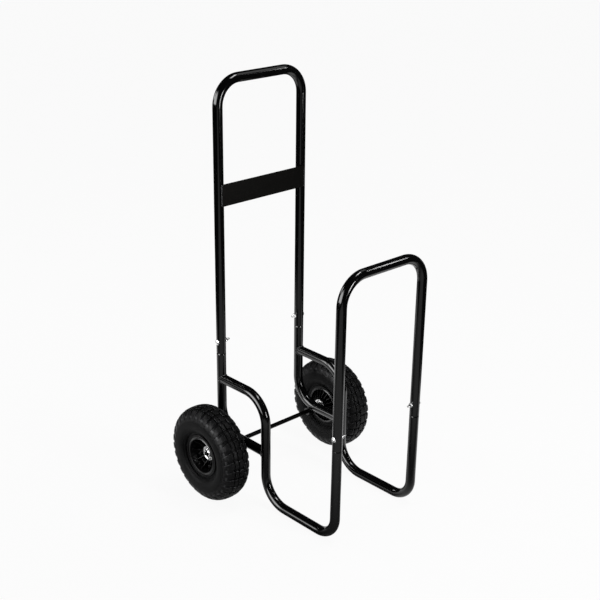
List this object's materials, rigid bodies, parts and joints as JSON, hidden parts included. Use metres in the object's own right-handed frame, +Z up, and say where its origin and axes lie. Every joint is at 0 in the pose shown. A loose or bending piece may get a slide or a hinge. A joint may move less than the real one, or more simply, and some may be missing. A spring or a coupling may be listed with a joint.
{
  "type": "fireside log cart",
  "caption": "Upright log cart of bent black tube, with a tall handle hoop, a shorter front hoop, a cross plate and pneumatic wheels on ball bearings.",
  "frame": {"origin": "on the floor, under the middle of the whole cart's box", "axes": "+X forward from the handle to the front hoop, +Y to the left, +Z up"},
  "size_m": [0.5371, 0.529, 1.115],
  "materials": {
    "frame_paint": "gloss",
    "plate_paint": "satin",
    "axle_finish": "satin",
    "zinc": "satin",
    "bearing_steel": "satin",
    "tyre_rubber": "matte",
    "tube_rubber": "matte",
    "rim_plastic": "satin"
  },
  "bodies": {
    "frame": {"handle_hoop": "frame_paint", "cross_plate": "plate_paint", "left_rear_post": "frame_paint", "right_rear_post": "frame_paint", "left_side_rail": "frame_paint", "right_side_rail": "frame_paint", "front_hoop": "frame_paint", "weld_beads": "frame_paint", "handle_joint_bolts": "zinc", "handle_joint_nuts": "zinc", "front_joint_bolts": "zinc", "front_joint_nuts": "zinc", "axle": "axle_finish", "left_axle_sleeve": "frame_paint", "right_axle_sleeve": "frame_paint", "axle_washers": "zinc", "bearing_cones": "bearing_steel", "push_nuts": "zinc"},
    "left_wheel": {"left_tyre": "tyre_rubber", "left_inner_tube": "tube_rubber", "left_rim_outer_half": "rim_plastic", "left_rim_inner_half": "rim_plastic", "left_rim_bolts": "zinc", "left_rim_nuts": "zinc", "left_outer_bearing": "zinc", "left_inner_bearing": "zinc", "left_bearing_balls": "bearing_steel", "left_valve_stem": "tube_rubber", "left_valve_cap": "rim_plastic"},
    "right_wheel": {"right_tyre": "tyre_rubber", "right_inner_tube": "tube_rubber", "right_rim_outer_half": "rim_plastic", "right_rim_inner_half": "rim_plastic", "right_rim_bolts": "zinc", "right_rim_nuts": "zinc", "right_outer_bearing": "zinc", "right_inner_bearing": "zinc", "right_bearing_balls": "bearing_steel", "right_valve_stem": "tube_rubber", "right_valve_cap": "rim_plastic"}
  },
  "joints": [
    {"name": "left_wheel_spin", "type": "hinge", "parent": "frame", "child": "left_wheel", "pos_m": [-0.13858, 0.2225, 0.13], "axis": [0, 1, 0], "continuous": true},
    {"name": "right_wheel_spin", "type": "hinge", "parent": "frame", "child": "right_wheel", "pos_m": [-0.13858, -0.2225, 0.13], "axis": [0, 1, 0], "continuous": true}
  ]
}
